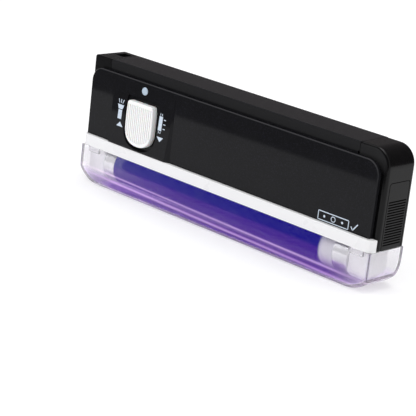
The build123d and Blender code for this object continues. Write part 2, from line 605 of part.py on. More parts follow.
with BuildPart() as switch_slider:
    block(SWITCH_X - 1.05, SWITCH_X + 1.05, STEM_END_Y - 1.6, SWITCH_BODY_Y + 1.4, SWITCH_Z - 1.55,
          SWITCH_Z + 1.55)
    block(SWITCH_X - 3.2, SWITCH_X + 3.2, SWITCH_BODY_Y + 0.6, SWITCH_BODY_Y + 2.0, SWITCH_Z - 2.4,
          SWITCH_Z + 2.4)
save(switch_slider.part, "switch_slider")

with BuildPart() as switch_body:
    block(SWITCH_X - 4.3, SWITCH_X + 4.3, SWITCH_BODY_Y, BOARD_Y - 0.02, SWITCH_Z - 6.5,
          SWITCH_Z + 6.5)
    fillet(switch_body.edges().filter_by(Axis.Z), 0.4)
    block(SWITCH_X - 3.5, SWITCH_X + 3.5, SWITCH_BODY_Y + 0.45, SWITCH_BODY_Y + 2.2, SWITCH_Z - 4.2,
          SWITCH_Z + 4.2, Mode.SUBTRACT)
    block(SWITCH_X - 1.2, SWITCH_X + 1.2, SWITCH_BODY_Y - 1, SWITCH_BODY_Y + 1, SWITCH_Z - 3.0,
          SWITCH_Z + 3.0, Mode.SUBTRACT)
save(switch_body.part, "switch_body")

with BuildPart() as indicator_lens:
    rod_y(SWITCH_X, LED_Z, PANEL_Y - 0.45, RIM_Y + 0.02, LED_R)
    fillet(indicator_lens.edges().filter_by(GeomType.CIRCLE).sort_by(Axis.Y)[0], 0.25)
    rod_y(SWITCH_X, LED_Z, RIM_Y + 0.02, RIM_Y + 0.6, LED_R + 0.6)
    rod_y(SWITCH_X, LED_Z, RIM_Y + 0.5, RIM_Y + 3.0, LED_R - 0.15)
save(indicator_lens.part, "indicator_lens")


# ---- circuit board and what stands on it ------------------------------------
with BuildPart() as circuit_board:
    block(*BOARD_X, BOARD_Y, BOARD_Y + BOARD_T, *BOARD_Z)
    fillet(circuit_board.edges().filter_by(Axis.Y), 0.8)
    rod_y(SCREWS[0][0], SCREWS[0][1], BOARD_Y - 1, BOARD_Y + 3, POST_R + 0.3, Mode.SUBTRACT)
save(circuit_board.part, "circuit_board")

with BuildPart() as transformer_core:
    block(*CORE_X, BOARD_Y - 6.8, BOARD_Y - 0.6, *CORE_Z)
    block(CORE_X[0] + CORE_SIDE, CORE_X[1] - CORE_SIDE, BOARD_Y - 8, BOARD_Y, CORE_Z[0] + CORE_END,
          CORE_Z[1] - CORE_END, Mode.SUBTRACT)
save(transformer_core.part, "transformer_core")

with BuildPart() as transformer_coil:
    block(CORE_X[0] + CORE_SIDE + COIL_GAP, CORE_X[1] - CORE_SIDE - COIL_GAP, BOARD_Y - 6.6, BOARD_Y - 0.02,
          CORE_Z[0] + CORE_END + 2 * COIL_GAP, CORE_Z[1] - CORE_END - 2 * COIL_GAP)
    fillet(transformer_coil.edges().filter_by(Axis.Z), 1.6)
save(transformer_coil.part, "transformer_coil")

with BuildPart() as transistor:
    block(*TRANSISTOR_X, BOARD_Y - 5.0, BOARD_Y - 0.8, *TRANSISTOR_Z)
    chamfer(transistor.edges().filter_by(Axis.Z).sort_by(Axis.X)[:2], 0.8)
    for leg in (-1, 0, 1):
        rod_y(sum(TRANSISTOR_X) / 2, sum(TRANSISTOR_Z) / 2 + leg * LEG_PITCH, BOARD_Y - 0.9,
              BOARD_Y - 0.01, 0.22)
save(transistor.part, "transistor")

with BuildPart() as electrolytic_capacitor:
    rod_y(*CAN_AT, BOARD_Y - 7.0, BOARD_Y - 0.02, CAN_R)
    fillet(electrolytic_capacitor.edges().filter_by(GeomType.CIRCLE), 0.4)
save(electrolytic_capacitor.part, "electrolytic_capacitor")

with BuildPart() as film_capacitor:
    block(*FILM_X, BOARD_Y - 5.0, BOARD_Y - 0.02, *FILM_Z)
    fillet(film_capacitor.edges(), 0.5)
save(film_capacitor.part, "film_capacitor")

with BuildPart() as resistors:
    for resistor_x in RESISTOR_XS:
        resistor_y = BOARD_Y + BOARD_T + 1.0
        with Locations((resistor_x, resistor_y, RESISTOR_Z)):
            Cylinder(0.9, RESISTOR_LENGTH)
            Cylinder(0.3, RESISTOR_SPAN + 0.4)
        for side in (-1, 1):
            rod_y(resistor_x, RESISTOR_Z + side * RESISTOR_SPAN / 2, BOARD_Y + BOARD_T + 0.01,
                  resistor_y, 0.28)
save(resistors.part, "resistors")


# ---- torch ------------------------------------------------------------------
with BuildPart() as torch_bezel:
    rod_x(-END_X, -END_X + WALL, TORCH_Y, TORCH_Z, TORCH_R)
    rod_x(-END_X + WALL + 0.02, -END_X + WALL + 1.2, TORCH_Y, TORCH_Z, TORCH_R + 1)
    rod_x(-END_X + WALL - 0.1, -END_X + WALL + 0.1, TORCH_Y, TORCH_Z, TORCH_R - 0.2)
    rod_x(-END_X - 1, -END_X + 3, TORCH_Y, TORCH_Z, TORCH_R - 1.0, Mode.SUBTRACT)
save(torch_bezel.part, "torch_bezel")

with BuildPart() as torch_lens:
    rod_x(-END_X + 0.5, -END_X + 1.6, TORCH_Y, TORCH_Z, TORCH_R - 1.03)
    fillet(torch_lens.edges().filter_by(GeomType.CIRCLE).sort_by(Axis.X)[0], 0.5)
save(torch_lens.part, "torch_lens")

with BuildPart() as torch_reflector:
    with BuildSketch(front_plane(TORCH_Y)):
        with BuildLine():
            Polyline(
                (-END_X + 2.35, TORCH_Z + 4.4),
                (-END_X + 2.35, TORCH_Z + 5.8),
                (-END_X + 3.0, TORCH_Z + 5.8),
                (-END_X + 3.0, TORCH_Z + 5.0),
                (-END_X + 9.4, TORCH_Z + 3.1),
                (-END_X + 9.4, TORCH_Z + 2.6),
                close=True,
            )
        make_face()
    revolve(axis=Axis((0, TORCH_Y, TORCH_Z), (1, 0, 0)))
save(torch_reflector.part, "torch_reflector")

with BuildPart() as torch_led:
    rod_x(-END_X + 5.2, -END_X + 13.4, TORCH_Y, TORCH_Z, 2.45)
    fillet(torch_led.edges().filter_by(GeomType.CIRCLE).sort_by(Axis.X)[0], 2.2)
    rod_x(-END_X + 12.4, -END_X + 13.4, TORCH_Y, TORCH_Z, 2.9)
save(torch_led.part, "torch_led")


# ---- screws and wires -------------------------------------------------------
with BuildPart() as housing_screws:
    for screw_x, screw_z in SCREWS:
        rod_y(screw_x, screw_z, RIM_Y + 2.2, BACK_Y - 2.2, SCREW_R)
        rod_y(screw_x, screw_z, BACK_Y - 2.2, BACK_Y - 0.7, 1.9)
        block(screw_x - 1.2, screw_x + 1.2, BACK_Y - 1.2, BACK_Y, screw_z - 0.25, screw_z + 0.25,
              Mode.SUBTRACT)
        block(screw_x - 0.25, screw_x + 0.25, BACK_Y - 1.2, BACK_Y, screw_z - 1.2, screw_z + 1.2,
              Mode.SUBTRACT)
save(housing_screws.part, "housing_screws")


def wire(name, radius, *routes):
    """Insulated leads along bent routes, each a solid of its own in one node."""
    with BuildPart() as lead:
        for route in routes:
            with BuildLine() as path:
                FilletPolyline(*route, radius=radius * 2)
            with BuildSketch(Plane(origin=path.line @ 0, z_dir=path.line % 0)):
                Circle(radius)
            sweep(path=path.line)
    save(lead.part, name)


wire(
    "lamp_leads", LEAD_R,
    ((-58.0, LEAD_Y, 25.6), (-58.0, LEAD_Y, LEAD_Z), (-LEAD_DROP_X, LEAD_Y, LEAD_Z),
     (-LEAD_DROP_X, LEAD_Y, 17.4), (-HOLDER_X0 + 0.02, LEAD_Y, 17.4)),
    ((-54.0, LEAD_Y, 25.6), (-54.0, LEAD_Y, LEAD_Z), (LEAD_DROP_X, LEAD_Y, LEAD_Z),
     (LEAD_DROP_X, LEAD_Y, 17.4), (HOLDER_X0 - 0.02, LEAD_Y, 17.4)),
)
wire(
    "torch_leads", LEAD_R,
    ((-END_X + 13.42, TORCH_Y - 1.2, TORCH_Z), (-64.2, TORCH_Y - 1.2, TORCH_Z),
     (-64.2, 4.6, 40.0), (-61.0, 4.6, 40.0)),
    ((-END_X + 13.42, TORCH_Y + 1.2, TORCH_Z), (-63.6, TORCH_Y + 1.2, TORCH_Z), (-63.6, 5.6, 29.0),
     (-61.0, 5.6, 29.0)),
)
wire(
    "battery_leads", LEAD_R,
    ((BAY_WALL_X - BAY_WALL_T - 0.02, 5.0, ROW_Z[0]), (-36.5, 5.0, ROW_Z[0]),
     (-36.5, 5.0, 34.5), (-41.0, 5.0, 34.5)),
    ((BAY_WALL_X - BAY_WALL_T - 0.02, 5.0, ROW_Z[1] - 3), (-36.5, 5.0, ROW_Z[1] - 3),
     (-36.5, 5.0, 44.5), (-41.0, 5.0, 44.5)),
)
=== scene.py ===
"""Looks for the handheld ultraviolet bill detector: materials, printed marks, studio and camera."""
import json
import math

import bmesh
import bpy
from mathutils import Matrix, Vector


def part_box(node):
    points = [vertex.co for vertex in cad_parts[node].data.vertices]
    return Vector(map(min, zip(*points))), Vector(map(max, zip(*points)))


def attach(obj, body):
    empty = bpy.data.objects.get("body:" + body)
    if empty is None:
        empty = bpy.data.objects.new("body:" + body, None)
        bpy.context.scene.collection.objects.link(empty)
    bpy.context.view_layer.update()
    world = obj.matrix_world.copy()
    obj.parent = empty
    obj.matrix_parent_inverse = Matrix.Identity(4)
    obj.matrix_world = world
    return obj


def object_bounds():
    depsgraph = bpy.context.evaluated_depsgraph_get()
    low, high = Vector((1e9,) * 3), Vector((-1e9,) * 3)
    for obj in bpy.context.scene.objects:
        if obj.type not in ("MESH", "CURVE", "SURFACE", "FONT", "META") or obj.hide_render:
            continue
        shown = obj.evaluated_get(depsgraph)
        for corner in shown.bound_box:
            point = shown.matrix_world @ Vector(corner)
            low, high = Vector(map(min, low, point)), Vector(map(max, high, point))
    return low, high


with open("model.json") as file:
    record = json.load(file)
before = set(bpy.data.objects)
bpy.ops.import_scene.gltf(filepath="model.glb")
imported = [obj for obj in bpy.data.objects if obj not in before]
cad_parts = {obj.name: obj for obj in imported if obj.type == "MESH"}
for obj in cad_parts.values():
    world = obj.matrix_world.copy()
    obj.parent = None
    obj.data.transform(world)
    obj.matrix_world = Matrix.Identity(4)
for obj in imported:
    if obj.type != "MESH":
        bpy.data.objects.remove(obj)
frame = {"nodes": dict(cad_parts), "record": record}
cad_low, cad_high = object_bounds()
MM = 0.001

# the front of the block, in metres
PANEL_FACE = -0.0085    # face of the raised panel
RIM_FACE = -0.0066      # face of the block behind the panel
PANEL_TOP = 0.0503      # top and right sides of the panel, and its corner radius
PANEL_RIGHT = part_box("front_cover")[1].x
PANEL_ROUND = 0.006
BLOCK_FOOT = 0.01605    # underside of the black block
BLOCK_TOP = cad_high.z


# ---- material helpers --------------------------------------------------------
class Shader:
    """A Principled material with its node tree at hand."""

    def __init__(self, name, **sockets):
        self.material = bpy.data.materials.new(name)
        self.material.use_nodes = True
        self.tree = self.material.node_tree
        self.principled = self.tree.nodes["Principled BSDF"]
        self.place = self.tree.nodes.new("ShaderNodeTexCoord").outputs["Object"]
        for socket, value in sockets.items():
            self.set(socket.replace("_", " "), value)

    def set(self, socket, value):
        target = self.principled.inputs[socket]
        if target.type == "RGBA":
            value = (*value, 1.0)
        target.default_value = value

    def node(self, kind, **values):
        made = self.tree.nodes.new(kind)
        for key, value in values.items():
            if hasattr(made, key):
                setattr(made, key, value)
            else:
                made.inputs[key.replace("_", " ")].default_value = value
        return made

    def link(self, output, target):
        self.tree.links.new(output, target)

    def noise(self, size_mm, detail=3.0, stretch=(1, 1, 1)):
        """Noise whose grains are about size_mm across, stretched along the axes."""
        mapping = self.node("ShaderNodeMapping")
        mapping.inputs["Scale"].default_value = [1 / s for s in stretch]
        self.link(self.place, mapping.inputs["Vector"])
        noise = self.node("ShaderNodeTexNoise", Scale=1000.0 / size_mm, Detail=detail)
        self.link(mapping.outputs["Vector"], noise.inputs["Vector"])
        return noise.outputs["Fac"]

    def ramp(self, source, low, high, low_value, high_value):
        """Maps source from low..high to low_value..high_value, clamped."""
        scale = self.node("ShaderNodeMapRange")
        scale.inputs["From Min"].default_value = low
        scale.inputs["From Max"].default_value = high
        scale.inputs["To Min"].default_value = low_value
        scale.inputs["To Max"].default_value = high_value
        self.link(source, scale.inputs["Value"])
        return scale.outputs["Result"]

    def mix(self, factor, first, second):
        """Colour mix; first and second are colours or outputs."""
        mix = self.node("ShaderNodeMix", data_type="RGBA")
        self.link(factor, mix.inputs["Factor"])
        for value, index in ((first, 6), (second, 7)):
            if isinstance(value, tuple):
                mix.inputs[index].default_value = (*value, 1.0)
            else:
                self.link(value, mix.inputs[index])
        return mix.outputs[2]

    def bump(self, height, strength, depth_mm):
        bump = self.node("ShaderNodeBump", Strength=strength, Distance=depth_mm * MM)
        self.link(height, bump.inputs["Height"])
        return bump.outputs["Normal"]

    def axis(self, name):
        """One coordinate of the point, in metres."""
        split = self.node("ShaderNodeSeparateXYZ")
        self.link(self.place, split.inputs["Vector"])
        return split.outputs[name]

    def maths(self, operation, *values):
        """One arithmetic step on numbers or outputs."""
        made = self.tree.nodes.new("ShaderNodeMath")
        made.operation = operation
        for index, value in enumerate(values):
            if isinstance(value, (int, float)):
                made.inputs[index].default_value = value
            else:
                self.link(value, made.inputs[index])
        return made.outputs[0]

    def product(self, first, *others):
        """Product of masks and numbers."""
        for other in others:
            first = self.maths("MULTIPLY", first, other)
        return first

    def above(self, name, start, fade):
        """0 below start, rising to 1 over fade."""
        return self.ramp(self.axis(name), start, start + fade, 0.0, 1.0)

    def below(self, name, start, fade):
        """1 below start, falling to 0 over fade."""
        return self.ramp(self.axis(name), start, start + fade, 1.0, 0.0)

    def near(self, place, centre, half):
        """1 where place is at centre, fading to 0 at half on either side of it."""
        away = self.maths("ABSOLUTE", self.maths("SUBTRACT", place, centre))
        return self.ramp(away, 0.25 * half, half, 1.0, 0.0)

    def beyond(self, name, start):
        """How far a coordinate is past start, and 0 before it."""
        return self.maths("MAXIMUM", self.maths("SUBTRACT", self.axis(name), start), 0.0)

    def box_edges(self, low, high, width_mm=0.8):
        """1 along the edges of the box low..high, where handling polishes a block, 0 elsewhere."""
        near = []
        for name, start, end in zip("XYZ", low, high):
            place = self.axis(name)
            inward = self.maths("MINIMUM", self.maths("SUBTRACT", place, start),
                                self.maths("SUBTRACT", end, place))
            near.append(self.ramp(inward, 0.0, width_mm * MM, 1.0, 0.0))
        total = self.maths("ADD", self.maths("ADD", near[0], near[1]), near[2])
        return self.ramp(total, 0.9, 1.7, 0.0, 1.0)

    def use(self, socket, output):
        self.link(output, self.principled.inputs[socket])

    def feed(self, socket):
        """The output that a socket is now fed by."""
        return self.principled.inputs[socket].links[0].from_socket

    def tint(self, mask, colour):
        """Lays a colour over the present one where mask is 1."""
        self.use("Base Color", self.mix(mask, self.feed("Base Color"), colour))


def moulded(name, colour, roughness, grain_mm, depth_mm, worn, speck=None, box=None, gloss=0.5):
    """Injection-moulded plastic: spark-eroded grain, roughness drift, slightly polished edges."""
    shader = Shader(name, IOR=1.5, Specular_IOR_Level=gloss)
    grain = shader.noise(grain_mm, 4.0)
    drift = shader.noise(14.0, 2.0)
    lift = 1.12 if max(colour) < 0.5 else 1.02
    tone = shader.mix(shader.ramp(drift, 0.3, 0.7, 0.0, 1.0), colour, tuple(c * lift for c in colour))
    if speck:
        tone = shader.mix(shader.ramp(shader.noise(grain_mm * 0.8, 1.0), 0.56, 0.7, 0.0, 1.0), tone, speck)
    edges = shader.box_edges(*(box or (cad_low, cad_high)))
    scuffed = shader.product(edges, shader.ramp(shader.noise(2.2, 4.0), 0.42, 0.62, 0.2, 1.0))
    shader.use("Base Color", shader.mix(scuffed, tone, worn))
    rough = shader.ramp(drift, 0.3, 0.7, roughness * 0.9, roughness * 1.12)
    shader.use("Roughness", shader.maths("SUBTRACT", rough, shader.product(scuffed, 0.1)))
    shader.use("Normal", shader.bump(grain, 0.35, depth_mm))
    return shader


# ---- materials ---------------------------------------------------------------
def black_plastic():
    """Satin black shells. The end cap is a glossier moulding than the rest, and painted blacker as painted
    shade standing in for the dark reflection on its rounded corner.
    """
    shader = moulded("black_plastic", (0.005, 0.005, 0.0055), 0.3, 0.32, 0.015, (0.03, 0.03, 0.032),
                     speck=(0.012, 0.012, 0.013), gloss=0.17)
    cap_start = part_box("battery_door")[0].x
    cap = shader.ramp(shader.axis("X"), cap_start - 0.1 * MM, cap_start, 0.0, 0.85)
    # painted shade: the end cap's base is painted blacker, standing in for the dark reflection on its
    # rounded corner
    shader.tint(cap, (0.0015, 0.0015, 0.0017))
    shader.use("Roughness", shader.maths("SUBTRACT", shader.feed("Roughness"), shader.product(cap, 0.17)))
    # painted highlight: the upper part of the cap's front is painted a little lighter
    front = shader.below("Y", RIM_FACE + 0.1 * MM, 0.3 * MM)
    upper = shader.above("Z", BLOCK_TOP - 9.5 * MM, 6 * MM)
    shader.tint(shader.product(front, upper, cap), (0.022, 0.022, 0.023))
    return shader


def panel_plastic():
    """Glossy black front, with a painted highlight on the raised panel's edge and a painted sheen on the
    rim above it.
    """
    shader = moulded("panel_plastic", (0.0077, 0.0077, 0.0087), 0.075, 0.4, 0.003, (0.022, 0.022, 0.024),
                     speck=(0.0145, 0.0145, 0.0185), box=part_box("front_cover"), gloss=0.1)
    # a thin painted highlight along the panel's top and round its corner, fading down its right side
    past_x = shader.beyond("X", PANEL_RIGHT - PANEL_ROUND)
    past_z = shader.beyond("Z", PANEL_TOP - PANEL_ROUND)
    squares = [shader.product(past, past) for past in (past_x, past_z)]
    reach = shader.maths("SQRT", shader.maths("ADD", *squares))
    edge = shader.near(reach, PANEL_ROUND - 0.1 * MM, 0.4 * MM)
    fading = shader.ramp(shader.axis("Z"), PANEL_TOP - 7.8 * MM, PANEL_TOP - 0.8 * MM, 0.15, 1.0)
    proud = shader.below("Y", PANEL_FACE + 0.2 * MM, 0.4 * MM)
    shader.tint(shader.product(edge, fading, proud), (0.04, 0.04, 0.043))
    # painted sheen: the rim between the panel and the top face is painted lighter
    rim_foot = shader.above("Z", PANEL_TOP + 0.5 * MM, 0.5 * MM)
    rim_head = shader.below("Z", BLOCK_TOP - 0.4 * MM, 0.3 * MM)
    rim_front = shader.below("Y", RIM_FACE - 0.1 * MM, 0.4 * MM)
    shader.tint(shader.product(rim_foot, rim_head, rim_front), (0.021, 0.021, 0.022))
    return shader


def white_plastic():
    shader = moulded("white_plastic", (0.8, 0.8, 0.81), 0.3, 0.5, 0.006, (0.86, 0.86, 0.86))
    # painted glow: the pieces inside the clear cover glow, standing in for the lamp's light on them
    under = shader.ramp(shader.axis("Z"), BLOCK_FOOT - 0.25 * MM, BLOCK_FOOT + 0.25 * MM, 0.22, 0.0)
    shader.use("Emission Color", shader.mix(under, (0.0, 0.0, 0.0), (0.97, 0.93, 1.0)))
    shader.set("Emission Strength", 1.0)
    return shader


def knob_plastic():
    shader = moulded("knob_plastic", (0.88, 0.88, 0.88), 0.38, 0.3, 0.01, (0.9, 0.9, 0.9))
    shader.set("Subsurface Weight", 0.1)
    shader.set("Subsurface Scale", 0.001)
    return shader


LINE_SLOPE = 0.018      # how far the bright lines fall towards the right, per unit of length


def clear_plastic():
    """Clear cover, with painted violet light along its underside and rims, and two painted highlight lines.
    """
    shader = Shader("clear_plastic", IOR=1.33, Specular_IOR_Level=0.3, Transmission_Weight=1.0, Alpha=0.86)
    shader.set("Specular Tint", (0.3, 0.27, 0.33))
    haze = shader.noise(9.0, 2.0)
    # painted light: violet along the rounded underside stands in for the lamp's light gathered there, with
    # two thin painted highlight lines in it
    streaks = shader.ramp(shader.noise(4.0, 3.0, (14, 1, 0.3)), 0.42, 0.58, 0.75, 1.0)
    from_middle = shader.maths("ABSOLUTE", shader.axis("X"))
    along = shader.ramp(from_middle, 60 * MM, 74 * MM, 1.0, 0.3)
    violet = shader.product(shader.below("Z", 3.8 * MM, 2.8 * MM), along, streaks)
    clear = shader.mix(violet, (0.985, 0.98, 0.99), (0.38, 0.19, 0.69))
    height = shader.maths("ADD", shader.axis("Z"), shader.product(shader.axis("X"), LINE_SLOPE))
    upper_line = shader.near(height, 5.7 * MM, 0.5 * MM)
    lower_line = shader.near(height, 3.2 * MM, 0.7 * MM)
    bright = shader.product(shader.maths("MAXIMUM", upper_line, lower_line), along)
    shader.use("Emission Color", shader.mix(bright, (0.0, 0.0, 0.0), (0.56, 0.4, 0.54)))
    shader.set("Emission Strength", 0.4)
    # painted light: violet-grey along the cover's rims stands in for the lamp's light seen in its edges
    rims = shader.box_edges(*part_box("lens_cover"), 1.2)
    shader.use("Base Color", shader.mix(rims, clear, (0.42, 0.36, 0.55)))
    shader.use("Roughness", shader.ramp(haze, 0.35, 0.65, 0.002, 0.012))
    shader.use("Normal", shader.bump(shader.noise(22.0, 1.0), 0.1, 0.06))
    return shader


SILVERED_MM = 7.3       # length of the silvered zone next to the right cap


def lamp_glass():
    """Dark violet filter glass with the lamp's glow, painted darker indigo in the upper half and brighter,
    redder violet towards the bottom as painted shade and light, with a silvered zone at one end.
    """
    shader = Shader("lamp_glass", IOR=1.5, Specular_IOR_Level=0.01)
    tube_low, tube_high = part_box("uv_tube")
    height = shader.ramp(shader.axis("Z"), tube_low.z, tube_high.z, 0.0, 1.0)
    cloud = shader.noise(18.0, 2.0)
    # painted shade and light on the lamp's glow: darker indigo above, brighter and redder violet towards
    # the bottom
    glow = shader.mix(shader.ramp(height, 0.51, 0.55, 0.0, 1.0), (0.05, 0.012, 0.24), (0.003, 0.001, 0.2))
    glow = shader.mix(shader.ramp(height, 0.1, 0.3, 0.0, 1.0), (0.08, 0.025, 0.28), glow)
    base = shader.mix(shader.ramp(cloud, 0.3, 0.7, 0.0, 1.0), (0.003, 0.002, 0.03), (0.006, 0.003, 0.05))
    silver_start = tube_high.x - SILVERED_MM * MM
    silver = shader.ramp(shader.axis("X"), silver_start, silver_start + MM, 0.0, 1.0)
    shader.use("Base Color", shader.mix(silver, base, (0.9, 0.88, 0.95)))
    shader.use("Emission Color", shader.mix(silver, glow, (0.0, 0.0, 0.0)))
    shader.set("Emission Strength", 1.0)
    shader.use("Roughness", shader.ramp(cloud, 0.3, 0.7, 0.08, 0.16))
    return shader


def metal(name, colour, roughness, stretch=(1, 1, 1), streak_mm=0.5, depth_mm=0.006):
    """Metal with fine drawn or brushed streaks."""
    shader = Shader(name, Metallic=1.0)
    streaks = shader.noise(streak_mm, 3.0, stretch)
    stain = shader.noise(6.0, 3.0)
    tone = shader.mix(shader.ramp(stain, 0.35, 0.7, 0.0, 1.0), colour, tuple(c * 0.82 for c in colour))
    shader.use("Base Color", tone)
    shader.use("Roughness", shader.ramp(streaks, 0.3, 0.7, roughness * 0.75, roughness * 1.3))
    shader.use("Normal", shader.bump(streaks, 0.25, depth_mm))
    return shader


def cell_can():
    """Plain two-tone printed sleeve with bare metal at both ends of each cell."""
    shader = Shader("cell_can", Coat_Weight=0.5)
    low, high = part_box("battery_lower_left")
    length = high.x - low.x
    place = shader.maths("MODULO", shader.maths("SUBTRACT", shader.axis("X"), low.x), length)
    band = shader.maths("GREATER_THAN", place, 0.72 * length)
    inner = shader.maths("COMPARE", place, 0.5 * length, 0.5 * length - 1.6 * MM)
    sleeve = shader.mix(band, (0.012, 0.015, 0.02), (0.55, 0.3, 0.06))
    scuff = shader.noise(1.2, 4.0, (3, 1, 1))
    sleeve = shader.mix(shader.ramp(scuff, 0.55, 0.8, 0.0, 0.3), sleeve, (0.2, 0.2, 0.2))
    shader.use("Base Color", shader.mix(inner, (0.65, 0.65, 0.66), sleeve))
    shader.use("Metallic", shader.ramp(inner, 0.0, 1.0, 1.0, 0.4))
    shader.use("Roughness", shader.ramp(scuff, 0.3, 0.8, 0.22, 0.45))
    return shader


def board_green():
    """Solder mask with faint copper tracks under it."""
    shader = Shader("board_green", IOR=1.5, Coat_Weight=0.3)
    tracks = shader.node("ShaderNodeTexBrick", Scale=260.0)
    tracks.inputs["Color1"].default_value = (0.012, 0.13, 0.05, 1)
    tracks.inputs["Color2"].default_value = (0.015, 0.16, 0.06, 1)
    tracks.inputs["Mortar"].default_value = (0.05, 0.26, 0.1, 1)
    tracks.inputs["Mortar Size"].default_value = 0.04
    turned = shader.node("ShaderNodeMapping")
    turned.inputs["Rotation"].default_value = (math.pi / 2, 0, 0)
    shader.link(shader.place, turned.inputs["Vector"])
    shader.link(turned.outputs["Vector"], tracks.inputs["Vector"])
    shader.use("Base Color", tracks.outputs["Color"])
    shader.use("Roughness", shader.ramp(shader.noise(2.0), 0.3, 0.7, 0.28, 0.4))
    shader.use("Normal", shader.bump(tracks.outputs["Fac"], 0.3, 0.03))
    return shader


def coil_copper():
    """Enamelled wire laid in turns across the winding."""
    shader = Shader("coil_copper", Metallic=0.8, Coat_Weight=0.5)
    turns = shader.node("ShaderNodeTexWave", Scale=420.0, Distortion=0.6, bands_direction="Z")
    shader.link(shader.place, turns.inputs["Vector"])
    shader.use("Base Color", shader.mix(turns.outputs["Fac"], (0.35, 0.12, 0.03), (0.65, 0.28, 0.09)))
    shader.use("Normal", shader.bump(turns.outputs["Fac"], 0.6, 0.08))
    shader.use("Roughness", shader.ramp(shader.noise(3.0), 0.3, 0.7, 0.25, 0.4))
    return shader


def resistor_coat():
    """Lacquered body with colour bands across its length."""
    shader = moulded("resistor_coat", (0.55, 0.4, 0.22), 0.4, 0.3, 0.01, (0.65, 0.5, 0.3))
    bands = shader.node("ShaderNodeTexWave", Scale=160.0, bands_direction="Z")
    shader.link(shader.place, bands.inputs["Vector"])
    shader.tint(shader.ramp(bands.outputs["Fac"], 0.86, 0.9, 0.0, 1.0), (0.25, 0.02, 0.02))
    return shader


def clear_part(name, colour, transmission, roughness):
    """Small clear or milky piece with faint flow marks."""
    shader = Shader(name, IOR=1.5, Transmission_Weight=transmission)
    flow = shader.noise(1.5, 2.0)
    shader.use("Base Color", shader.mix(flow, colour, tuple(min(1.0, c * 1.08) for c in colour)))
    shader.use("Roughness", shader.ramp(flow, 0.3, 0.7, roughness * 0.7, roughness * 1.4))
    return shader


def torch_mirror():
    """Vapour-coated reflector with fine facets in rings."""
    shader = Shader("torch_mirror", Metallic=1.0)
    rings = shader.node("ShaderNodeTexWave", Scale=300.0, Distortion=1.5, bands_direction="X")
    shader.link(shader.place, rings.inputs["Vector"])
    shader.use("Base Color", shader.mix(shader.noise(2.0), (0.85, 0.86, 0.88), (0.95, 0.95, 0.96)))
    shader.use("Normal", shader.bump(rings.outputs["Fac"], 0.2, 0.03))
    shader.use("Roughness", shader.ramp(shader.noise(4.0), 0.3, 0.7, 0.04, 0.12))
    return shader


MATERIALS = {
    "black_plastic": black_plastic,
    "panel_plastic": panel_plastic,
    "white_plastic": white_plastic,
    "knob_plastic": knob_plastic,
    "board_plastic": lambda: moulded("board_plastic", (0.03, 0.03, 0.03), 0.5, 0.3, 0.01,
                                     (0.06, 0.06, 0.06)),
    "reflector_foil": lambda: metal("reflector_foil", (0.9, 0.9, 0.93), 0.22, (8, 1, 1)),
    "clear_plastic": clear_plastic,
    "cell_can": cell_can,
    "spring_steel": lambda: metal("spring_steel", (0.62, 0.61, 0.6), 0.25, (1, 1, 1), 0.2),
    "contact_nickel": lambda: metal("contact_nickel", (0.72, 0.7, 0.66), 0.28, (1, 1, 6)),
    "contact_brass": lambda: metal("contact_brass", (0.78, 0.6, 0.28), 0.25, (6, 1, 1)),
    "lamp_glass": lamp_glass,
    "lamp_cap": lambda: metal("lamp_cap", (0.86, 0.86, 0.88), 0.16, (1, 6, 6), 0.35, 0.008),
    "switch_steel": lambda: metal("switch_steel", (0.66, 0.66, 0.68), 0.3, (1, 1, 8)),
    "indicator_clear": lambda: clear_part("indicator_clear", (0.46, 0.56, 0.67), 0.1, 0.3),
    "board_green": board_green,
    "ferrite": lambda: moulded("ferrite", (0.03, 0.03, 0.032), 0.7, 0.25, 0.04, (0.08, 0.08, 0.08),
                               speck=(0.06, 0.06, 0.06)),
    "coil_copper": coil_copper,
    "black_epoxy": lambda: moulded("black_epoxy", (0.015, 0.015, 0.015), 0.5, 0.2, 0.01,
                                   (0.03, 0.03, 0.03)),
    "capacitor_sleeve": lambda: moulded("capacitor_sleeve", (0.01, 0.02, 0.1), 0.3, 1.0, 0.02,
                                        (0.03, 0.05, 0.2)),
    "film_coat": lambda: moulded("film_coat", (0.3, 0.09, 0.015), 0.25, 1.5, 0.05, (0.4, 0.15, 0.04)),
    "resistor_coat": resistor_coat,
    "torch_clear": lambda: clear_part("torch_clear", (0.96, 0.97, 0.98), 1.0, 0.03),
    "torch_mirror": torch_mirror,
    "led_clear": lambda: clear_part("led_clear", (0.9, 0.9, 0.8), 0.85, 0.08),
    "screw_steel": lambda: metal("screw_steel", (0.5, 0.5, 0.52), 0.32, (1, 1, 1), 0.3, 0.02),
    "lead_white": lambda: moulded("lead_white", (0.7, 0.7, 0.7), 0.4, 1.0, 0.02, (0.8, 0.8, 0.8)),
    "lead_red": lambda: moulded("lead_red", (0.5, 0.02, 0.015), 0.4, 1.0, 0.02, (0.6, 0.05, 0.04)),
}


def dress_nodes():
    """Gives every CAD node the material of its slot in the record."""
    made = {slot: make().material for slot, make in MATERIALS.items()}
    for part in frame["record"]["subparts"]:
        node = frame["nodes"][part["node"]]
        material = made[part["material_slot"]]
        for index in range(max(1, len(node.material_slots))):
            if index < len(node.material_slots):
                node.material_slots[index].material = material
            else:
                node.data.materials.append(material)


# ---- printed marks -----------------------------------------------------------
INK_PROUD = 0.00003     # half thickness of the ink, in metres like the plinth's sizes
PLINTH_TOP = 0.0496
PLINTH_TALL = 0.0287
PLINTH_TOP_PROUD = 0.00002
PLINTH_LEAN = 0.00143


